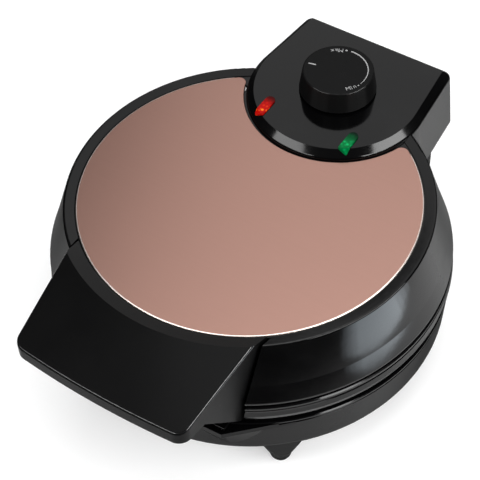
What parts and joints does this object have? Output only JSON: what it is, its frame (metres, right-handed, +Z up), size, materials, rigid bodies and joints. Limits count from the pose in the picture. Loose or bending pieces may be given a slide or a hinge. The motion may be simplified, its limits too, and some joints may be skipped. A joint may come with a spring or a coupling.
{
  "type": "flower waffle maker",
  "caption": "Round countertop waffle maker with a hinged lid, heart-shaped cooking hollows in a flower, a front handle, a rear thermostat knob and two lamps.",
  "frame": {"origin": "on the table, under the middle of the round body and of the overall box", "axes": "+Z up, -Y to the front where the handle is, +Y to the back where the hinge and cord inlet are, +X to the right seen from the front"},
  "size_m": [0.2122, 0.268, 0.111],
  "materials": {
    "gloss_black": "polished black moulding",
    "matte_black": "fine satin texture",
    "rose_metal": "brushed, rose-coloured coating",
    "nonstick": "black non-stick coating on cast aluminium",
    "element_steel": "dull heater sheath",
    "bright_sheet": "thin bright sheet",
    "zinc_steel": "plated screws and pins",
    "brass": "turned brass",
    "ceramic": "heat-proof insulator",
    "rubber": "soft black rubber",
    "red_lens": "clear red lamp window",
    "green_lens": "clear green lamp window",
    "lamp_glass": "small glass lamp"
  },
  "bodies": {
    "base": {"base_shell": "gloss_black", "base_trim_ring": "gloss_black", "base_bottom_cover": "matte_black", "lower_cooking_plate": "nonstick", "lower_heating_element": "element_steel", "lower_reflector": "bright_sheet", "terminal_block": "ceramic", "cord_gland": "rubber", "hinge_pin_left": "zinc_steel", "hinge_pin_right": "zinc_steel", "foot_front_left": "rubber", "foot_front_right": "rubber", "foot_rear_left": "rubber", "foot_rear_right": "rubber", "lower_plate_screws": "zinc_steel", "bottom_cover_screws": "zinc_steel"},
    "lid": {"lid_shell": "gloss_black", "cover_plate": "rose_metal", "control_pod": "gloss_black", "lid_handle": "matte_black", "handle_cover": "matte_black", "lid_trim_ring": "gloss_black", "upper_cooking_plate": "nonstick", "upper_heating_element": "element_steel", "upper_reflector": "bright_sheet", "thermostat_body": "ceramic", "thermostat_nut": "brass", "thermal_fuse": "element_steel", "fuse_clip": "bright_sheet", "red_lens": "red_lens", "green_lens": "green_lens", "red_lamp": "lamp_glass", "green_lamp": "lamp_glass", "upper_plate_screws": "zinc_steel", "pod_screws": "zinc_steel", "handle_screws": "zinc_steel"},
    "knob": {"thermostat_knob": "matte_black", "thermostat_spindle": "brass"}
  },
  "joints": [
    {"name": "lid_hinge", "type": "hinge", "parent": "base", "child": "lid", "pos_m": [0, 0.1175, 0.071], "axis": [-1, 0, 0], "range_deg": [0, 95]},
    {"name": "thermostat_turn", "type": "hinge", "parent": "lid", "child": "knob", "pos_m": [0, 0.087, 0.104], "axis": [0, 0, 1], "range_deg": [-60, 60]}
  ]
}
